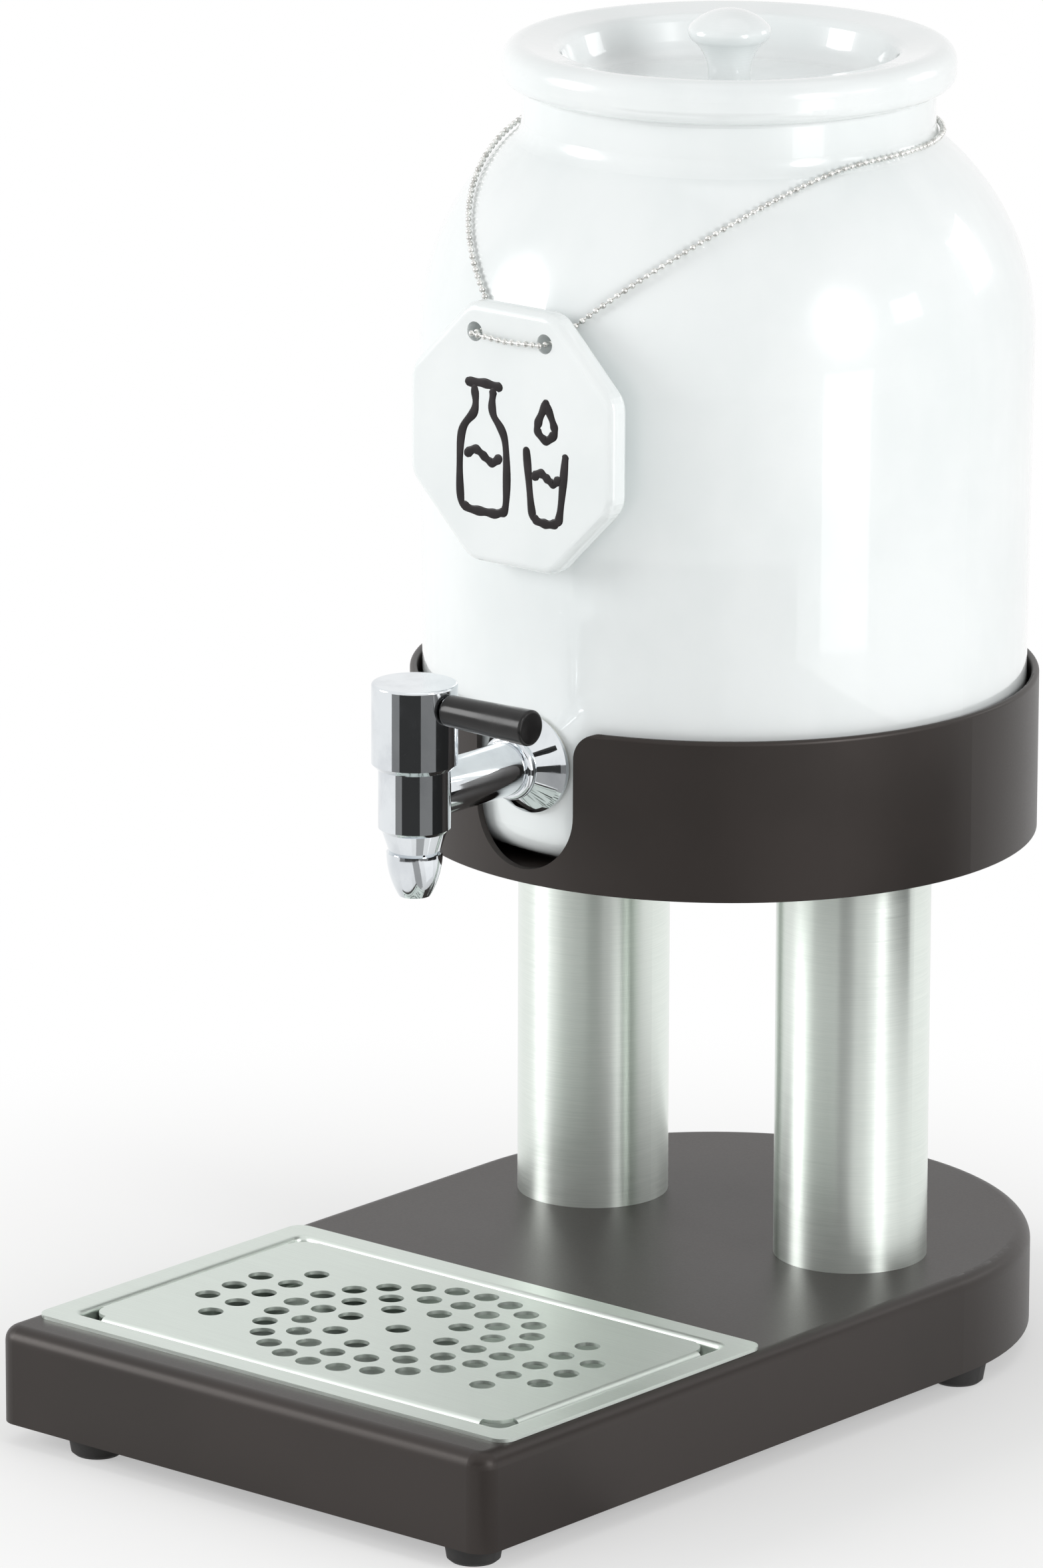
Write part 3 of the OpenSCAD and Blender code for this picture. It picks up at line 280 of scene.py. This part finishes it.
def brushed_steel(name, stretch, rough, tones, anisotropy=0.0, depth=SCRATCH_DEPTH):
    finish = Finish(name, {"Metallic": 1.0, "Anisotropic": anisotropy, "Anisotropic Rotation": QUARTER_TURN})
    scratches = finish.noise(stretch, detail=3.0, roughness=0.65)
    haze = finish.noise(HAZE)
    streak = finish.step(scratches, low=0.3, high=0.7)
    finish.set("Base Color", finish.mix(streak, *tones))
    finish.set("Roughness", finish.span(rough, streak) + HAZE_ROUGHER * haze)
    finish.bump(scratches, depth)
    return finish


post_steel = brushed_steel("post_steel", AROUND, rough=(0.26, 0.33), tones=TUBE_TONES,
                           anisotropy=0.85, depth=POST_SCRATCH_DEPTH)
wear(post_steel, "left_post", "right_post")
wear(brushed_steel("plug_steel", ALONG_X, rough=(0.3, 0.45), tones=SHEET_TONES), "top_plugs", "bottom_plugs")
wear(brushed_steel("tray_steel", ALONG_X, rough=(0.32, 0.44), tones=SHEET_TONES), "drip_tray")
wear(brushed_steel("grid_steel", ALONG_X, rough=(0.36, 0.5), tones=SHEET_TONES), "drip_grid")

# %% [markdown]
# ## Chrome
# The tap is turned brass under polished chrome. Chrome is a mirror, so nearly all of its look comes from what stands
# round it. What keeps it from looking computed is the handling: a faint film of wiping marks, drawn here as a slow
# noise that lifts the roughness from almost nothing to a little, and a pale blue-grey instead of pure white.

# %% Polished chrome for the tap
CHROME = colour(228, 232, 235)
CHROME_FILM = colour(214, 218, 222)
CHROME_ROUGH = (0.025, 0.095)
WIPING = (90.0, 90.0, 60.0)
POLISH_WAVES = even(220.0)
POLISH_DEPTH = 0.006 * MM


def polished_chrome():
    finish = Finish("polished_chrome", {"Metallic": 1.0})
    film = finish.noise(WIPING, detail=4.0, roughness=0.6)
    wiped = finish.step(film, low=0.4, high=0.75)
    finish.set("Base Color", finish.mix(wiped, CHROME, CHROME_FILM))
    finish.set("Roughness", finish.span(CHROME_ROUGH, wiped))
    finish.bump(finish.noise(POLISH_WAVES), POLISH_DEPTH)
    return finish


wear(polished_chrome(), "tap_body", "tap_nozzle", "tap_collar", "tap_rosette", "tap_head")

# %% [markdown]
# ## Plastic, rubber and silicone
# The lever's grip is a satin black moulding, the feet, pad and valve seals are black rubber, and the gaskets between
# tap and jar are milky silicone. They differ in how much they shine: the moulding has a fine even spark from its
# tool, rubber is dull with a dusty bloom, and silicone is soft and pale.

# %% Moulded and elastic pieces
LEVER_TONES = (colour(20, 19, 19), colour(28, 27, 27))
RUBBER_TONES = (colour(33, 32, 32), colour(52, 51, 50))
SILICONE_TONES = (colour(222, 222, 216), colour(206, 206, 199))
BLOOM = even(120.0)


def moulded(name, tones, rough, spark, depth, shine=0.5):
    finish = Finish(name, {"Specular IOR Level": shine})
    grain = finish.noise(even(spark))
    bloom = finish.noise(BLOOM, detail=4.0)
    mask = finish.step(bloom, low=0.4, high=0.7)
    finish.set("Base Color", finish.mix(mask, *tones))
    finish.set("Roughness", finish.span(rough, mask))
    finish.bump(grain, depth)
    return finish


lever_black = moulded("lever_black", LEVER_TONES, rough=(0.18, 0.28), spark=1800.0, depth=0.006 * MM, shine=0.34)
foot_rubber = moulded("foot_rubber", RUBBER_TONES, rough=(0.62, 0.82), spark=900.0, depth=0.05 * MM)
silicone = moulded("silicone", SILICONE_TONES, rough=(0.42, 0.55), spark=700.0, depth=0.02 * MM)
wear(lever_black, "lever_grip")
wear(foot_rubber, "rubber_feet", "jar_pad", "valve_seal", "stem_ring")
wear(silicone, "outer_gasket", "inner_gasket")

# %% [markdown]
# ## Small metal
# Screws, bolts, washers and the nut are zinc plated: a cloudy, slightly blue steel. The valve stem is turned
# stainless with fine rings. The bead chain is bright nickel, whose beads are so small that they need no grain, only a
# tarnish that darkens them here and there.

# %% Fasteners, stem and chain
ZINC_TONES = (colour(198, 202, 206), colour(158, 162, 165))
NICKEL_TONES = (colour(236, 236, 233), colour(188, 187, 183))


def plated(name, tones, scale, rough):
    finish = Finish(name, {"Metallic": 1.0})
    cloud = finish.step(finish.noise(even(scale), detail=4.0, roughness=0.6), low=0.35, high=0.68)
    finish.set("Base Color", finish.mix(cloud, *tones))
    finish.set("Roughness", finish.span(rough, cloud))
    return finish


wear(plated("zinc", ZINC_TONES, scale=420.0, rough=(0.28, 0.46)),
     "foot_screws", "base_bolts", "base_washers", "cradle_screws", "lever_stud", "inner_washer", "lock_nut")
wear(brushed_steel("stem_steel", AROUND, rough=(0.18, 0.3), tones=TUBE_TONES), "valve_stem")
wear(plated("nickel", NICKEL_TONES, scale=260.0, rough=(0.12, 0.28)), "bead_chain", "chain_clasp")

# %% [markdown]
# ## The ink drawing on the sign
# The sign is drawn on by hand with a ceramic pen. Here it is a plain milk bottle beside a glass, each with a wavy
# fill line, and a drop. A painted mask in the shader would blur when it is baked, so each stroke is a thin, low
# ribbon of mesh instead: its middle stands a tenth of a millimetre proud, as dried ink does, its ends are round and
# its width swells a little. The strokes are curves through a few points, in shares of the sign's half width.

# %% Strokes as points through which the pen goes
STROKES = {
    "bottle": [(-0.34, 0.33), (-0.34, 0.17), (-0.47, -0.03), (-0.48, -0.5), (-0.41, -0.59), (-0.25, -0.6),
               (-0.1, -0.59), (-0.03, -0.5), (-0.04, -0.03), (-0.16, 0.17), (-0.16, 0.33)],
    "rim": [(-0.4, 0.38), (-0.25, 0.39), (-0.1, 0.38)],
    "bottle_fill": [(-0.41, -0.17), (-0.33, -0.13), (-0.25, -0.17), (-0.17, -0.21), (-0.1, -0.17)],
    "glass": [(0.17, -0.07), (0.22, -0.5), (0.26, -0.58), (0.36, -0.6), (0.46, -0.58), (0.5, -0.5), (0.55, -0.07)],
    "glass_fill": [(0.25, -0.25), (0.31, -0.22), (0.37, -0.25), (0.43, -0.28), (0.48, -0.25)],
    "drop": [(0.36, 0.32), (0.29, 0.18), (0.28, 0.1), (0.36, 0.04), (0.44, 0.1), (0.43, 0.18), (0.36, 0.32)],
}
SAMPLES = 10


def through(points):
    """A smooth curve through the points, as many short steps."""
    rows = [points[0]] + points + [points[-1]]
    curve = []
    for a, b, c, d in zip(rows, rows[1:], rows[2:], rows[3:]):
        for i in range(SAMPLES):
            t = i / SAMPLES
            curve.append(0.5 * (2 * b + (c - a) * t + (2 * a - 5 * b + 4 * c - d) * t * t
                                + (3 * b - a - 3 * c + d) * t * t * t))
    return curve + [points[-1]]


print("points in each stroke:", {name: len(shares) for name, shares in STROKES.items()})

# %% [markdown]
# A pen leaves a round dot where it is set down and lifted. So each end of a stroke gets a few extra rows, whose width
# shrinks along a quarter of a circle, and the rows between them swell and narrow slowly, as a hand does.

# %% Rows of a pen stroke, with round ends
PEN_HALF = 1.5 * MM
CAP_STEPS = 5
SWELL = 0.12
SWELL_TURN = 0.7


def pen_rows(curve):
    """Centre, tangent and half width along a stroke, with round ends."""
    tangents = [(b - a).normalized() for a, b in zip(curve, curve[1:])]
    tangents.append(tangents[-1])
    rows = []
    for k in range(CAP_STEPS, 0, -1):
        turn = math.radians(90 * k / CAP_STEPS)
        rows.append((curve[0] - tangents[0] * PEN_HALF * math.sin(turn), tangents[0], PEN_HALF * math.cos(turn)))
    for i, (point, tangent) in enumerate(zip(curve, tangents)):
        swell = 1.0 + SWELL * math.sin(SWELL_TURN * i)
        rows.append((point, tangent, PEN_HALF * swell))
    for k in range(1, CAP_STEPS + 1):
        turn = math.radians(90 * k / CAP_STEPS)
        rows.append((curve[-1] + tangents[-1] * PEN_HALF * math.sin(turn), tangents[-1], PEN_HALF * math.cos(turn)))
    return rows


print("pen width", 2 * PEN_HALF / MM, "mm")

# %% [markdown]
# A ribbon's cross section is a low dome on a flat bottom that sinks a hair into the plate, so no gap shows at its
# edge. All strokes become one mesh that rides on the sign, and so swings with it.

# %% Ribbons on the sign's face
DOME = [(-1.0, 0.0), (-0.7, 0.8), (0.0, 1.0), (0.7, 0.8), (1.0, 0.0)]
INK_PROUD = 0.1 * MM
INK_SUNK = 0.05 * MM
THINNEST = 0.02 * MM
sign_low, sign_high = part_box("sign_plate")
SIGN_HALF = (sign_high[0] - sign_low[0]) / 2
SIGN_MIDDLE = Vector(((sign_low[0] + sign_high[0]) / 2, sign_low[1], (sign_low[2] + sign_high[2]) / 2))


def on_sign(flat, proud):
    return SIGN_MIDDLE + Vector((flat.x, -proud, flat.y))


def lay_ribbon(mesh, rows):
    rings = []
    for centre, tangent, half in rows:
        side = Vector((-tangent.y, tangent.x))
        section = [(x, INK_PROUD * h) for x, h in DOME] + [(1.0, -INK_SUNK), (-1.0, -INK_SUNK)]
        rings.append([mesh.verts.new(on_sign(centre - side * x * max(half, THINNEST), h)) for x, h in section])
    count = len(rings[0])
    for first, second in zip(rings, rings[1:]):
        for i in range(count):
            j = (i + 1) % count
            mesh.faces.new((first[i], first[j], second[j], second[i]))
    mesh.faces.new(rings[0][::-1])
    mesh.faces.new(rings[-1])


ink_mesh = bmesh.new()
for shares in STROKES.values():
    lay_ribbon(ink_mesh, pen_rows(through([Vector(p) * SIGN_HALF for p in shares])))
bmesh.ops.recalc_face_normals(ink_mesh, faces=ink_mesh.faces)
print("ink drawing:", len(ink_mesh.faces), "faces in", len(STROKES), "strokes")

# %% [markdown]
# What bmesh builds isn't in the scene yet. Two helpers turn it into an object with a finish, and the floor, lamps,
# cards and camera use them too. The ink takes the lever's material slot in the record, since both are black and
# satin.

# %% The drawing as a piece of the sign
INK_TONES = (colour(25, 20, 22), colour(35, 29, 31))


def new_object(name, data):
    thing = bpy.data.objects.new(name, data)
    bpy.context.scene.collection.objects.link(thing)
    return thing


def mesh_object(name, shape, finish):
    data = bpy.data.meshes.new(name)
    shape.to_mesh(data)
    shape.free()
    data.materials.append(finish.material)
    return new_object(name, data)


ceramic_ink = moulded("ceramic_ink", INK_TONES, rough=(0.3, 0.5), spark=900.0, depth=0.02 * MM, shine=0.25)
ink = mesh_object("ink_drawing", ink_mesh, ceramic_ink)
ink.data.shade_smooth()
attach(ink, "sign")
print(ink.name, "rides on the sign")

# %% [markdown]
# ## The studio floor
# A product is often shot on a white sweep. A round floor keeps the soft shadow under the feet and fades to white
# further out, by distance from the object, so that no horizon shows. Near the object the glow keeps a least share,
# which makes the shadow lighter without taking it away. The white glow is only for rays from the camera and for
# reflections: it puts no extra light on the object.

# %% Floor that fades to white
WHITE = (1.0, 1.0, 1.0, 1.0)
FLOOR_WHITE = colour(243, 243, 242)
FLOOR_R = 6.0
FLOOR_SIDES = 96
FADE_FROM = 0.12
FADE_TO = 0.42
LEAST_GLOW = 0.4
SEEN_RAYS = ("Is Camera Ray", "Is Glossy Ray", "Is Transmission Ray")


def seen_ray(graph):
    """1 for rays that show the background: from the camera, from a mirror or through a clear piece."""
    camera_ray, glossy_ray, through_ray = [graph.add("LightPath", out=name) for name in SEEN_RAYS]
    return camera_ray.math("MAXIMUM", glossy_ray).math("MAXIMUM", through_ray)


def studio_floor():
    finish = Finish("studio_floor", {"Base Color": FLOOR_WHITE, "Roughness": 0.9, "Specular IOR Level": 0.1})
    far = finish.add("VectorMath", {"operation": "LENGTH"}, {0: finish.place()}, out="Value")
    glow = finish.add("Emission", None, {"Color": WHITE, "Strength": 1.0})
    share = (LEAST_GLOW + (1 - LEAST_GLOW) * finish.step(far, FADE_FROM, FADE_TO)) * seen_ray(finish)
    lit = Wire(finish, finish.shader.outputs[0])
    blend = finish.add("MixShader", None, {0: share, 1: lit, 2: glow})
    finish.plug(finish.tree.nodes["Material Output"].inputs["Surface"], blend)
    return finish


floor_mesh = bmesh.new()
bmesh.ops.create_circle(floor_mesh, cap_ends=True, segments=FLOOR_SIDES, radius=FLOOR_R)
floor = mesh_object("studio_floor", floor_mesh, studio_floor())
print("floor radius", FLOOR_R, "m, white beyond", FADE_TO, "m")

# %% [markdown]
# ## Light
# Three soft boxes light the object: a strong one at the front left, a narrower one at the right and a weak one
# overhead. A box that is large for its distance gives soft shadows. They are elliptic, so that their reflections in
# the glaze are round spots. Their power is set so that a colour renders about as it is written, and the white glaze
# stays just below white. The camera doesn't see the boxes themselves, only what they light.

# %% Soft boxes
AIM = Vector((0.0, 0.02, 0.22))


def soft_box(name, place, width, height, power):
    lamp = bpy.data.lights.new(name, "AREA")
    lamp.shape = "ELLIPSE"
    lamp.size = width
    lamp.size_y = height
    lamp.energy = power
    box = new_object(name, lamp)
    box.location = place
    box.rotation_euler = (AIM - Vector(place)).to_track_quat("-Z", "Y").to_euler()
    box.visible_camera = False
    area = math.pi * width * height / 4
    print(name, "radiance", round(power / (math.pi * area), 2))


soft_box("left_box", (-1.5, -1.3, 0.8), width=1.0, height=1.1, power=20.5)
soft_box("right_box", (1.75, -0.15, 0.85), width=0.5, height=0.8, power=13.0)
soft_box("top_box", (0.1, 0.3, 2.0), width=1.4, height=1.4, power=1.5)

# %% [markdown]
# ## Cards for the metal and the glaze
# Polished metal shows only what stands round it, and in an all-white room it has no shape. A photographer puts cards
# beside it. Here they are strips that only reflections see: they cast no shadow and the camera looks through them. A
# card is part of a ring round a centre, between two edges that each have a radius and a height. Angles are counted
# from the camera's side, to its right.

# %% Curved cards that only reflections see
CAMERA_SIDE = math.radians(-50.0)
CARD_STEPS = 12
BLACK = (0.0, 0.0, 0.0, 1.0)


def curved_card(name, centre, angles, edges, shade):
    card = bmesh.new()
    rows = []
    for i in range(CARD_STEPS + 1):
        turn = CAMERA_SIDE + math.radians(angles[0] + (angles[1] - angles[0]) * i / CARD_STEPS)
        places = [(centre[0] + r * math.cos(turn), centre[1] + r * math.sin(turn), h) for r, h in edges]
        rows.append([card.verts.new(place) for place in places])
    for (a, b), (c, d) in zip(rows, rows[1:]):
        card.faces.new((a, c, d, b))
    paper = Finish(name, {"Base Color": BLACK, "Specular IOR Level": 0.0,
                          "Emission Color": WHITE, "Emission Strength": shade})
    thing = mesh_object(name, card, paper)
    thing.visible_camera = False
    thing.visible_diffuse = False
    thing.visible_shadow = False
    thing.visible_transmission = False
    print(name, "shade", shade)


def upright(radius, low, high):
    """Edges of a card that stands, all at one radius."""
    return (radius, low), (radius, high)


print("each card has", CARD_STEPS, "faces")

# %% [markdown]
# The tap's barrel is a narrow mirror that looks slightly down, so one low ring of cards gives it its stripes, from
# white at the left through grey and dark to black at the right. The ring is too low for most of the jar to see.

# %% Stripes for the tap's barrel
TAP_STRIP = upright(0.3, low=0.098, high=0.185)
TAP_STRIPES = (("white_card", (-84, -61), 1.0), ("grey_card", (-61, -39), 0.25), ("dark_card", (-39, 17), 0.04),
               ("streak_card", (17, 58), 0.22), ("black_card", (58, 103), 0.02))
tap_low, tap_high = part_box("tap_head")
TAP_AXIS = ((tap_low[0] + tap_high[0]) / 2, (tap_low[1] + tap_high[1]) / 2)
for name, angles, shade in TAP_STRIPES:
    curved_card(name, TAP_AXIS, angles, TAP_STRIP, shade)

# %% [markdown]
# Seen from a little above, the posts and the paint mirror the floor. Four flat cards just above it give the posts a
# grey band between two pale ones, and keep the sheen of the paint dark.

# %% Flat cards on the floor
CARD_LIFT = 2 * MM
FLOOR_CARDS = (("dark_floor_card", (-15, 6), 0.2, 0.7, 0.42), ("far_floor_card", (-60, 25), 0.7, 1.15, 0.05),
               ("pale_right_card", (24, 66), 0.2, 0.9, 1.1), ("pale_left_card", (-62, -26), 0.27, 0.7, 1.0))
JAR_AXIS = ((jar_low[0] + jar_high[0]) / 2, (jar_low[1] + jar_high[1]) / 2)
for name, angles, near, far, shade in FLOOR_CARDS:
    curved_card(name, JAR_AXIS, angles, ((near, CARD_LIFT), (far, CARD_LIFT)), shade)

# %% [markdown]
# White glaze mirrors only a little, so it takes cards brighter than white to show on it. A strip draws the long
# highlight down the jar. Two smaller cards, at the side and further back, make the spots on its shoulder and in the
# lid's dish.

# %% Bright cards for the glaze
curved_card("bright_strip", JAR_AXIS, (33, 51), upright(0.75, low=0.073, high=0.3), shade=2.5)
curved_card("side_card", JAR_AXIS, (63, 76), upright(1.0, low=0.54, high=0.7), shade=3.0)
curved_card("rear_card", JAR_AXIS, (105, 121), upright(1.0, low=0.48, high=0.8), shade=3.5)

# %% [markdown]
# ## World
# The world is white to the camera and to reflections, and gives a dimmer, even fill to everything else, so that the
# shaded sides stay readable. The view transform is Standard, which shows a colour as it was rendered.

# %% White surround, dim fill
FILL = 0.56
world = bpy.data.worlds.new("studio")
bpy.context.scene.world = world
world.use_nodes = True
sky = Graph(world.node_tree)
background = world.node_tree.nodes["Background"]
sky.plug(background.inputs["Color"], WHITE)
sky.plug(background.inputs["Strength"], FILL + (1.0 - FILL) * seen_ray(sky))
bpy.context.scene.view_settings.view_transform = "Standard"
print("fill light", FILL)

# %% [markdown]
# ## Camera
# The photograph was taken from the front right and a little above, with a long lens. The camera stands where a fit to
# the base, posts, cradle and jar puts it, and its sensor is measured along the tall side of the picture.

# %% Camera at the photograph's view
EYE = (2.0999, -2.5102, 1.0765)
TILT = (75.015, -0.17, 40.334)
LENS = 242.9
TALL_SIDE = 36.0
lens = bpy.data.cameras.new("camera")
lens.sensor_fit = "VERTICAL"
lens.sensor_height = TALL_SIDE
lens.lens = LENS
camera = new_object("camera", lens)
camera.location = EYE
camera.rotation_euler = [math.radians(a) for a in TILT]
bpy.context.scene.camera = camera
print("camera", round(Vector(EYE).length, 3), "m from the origin")

# %% [markdown]
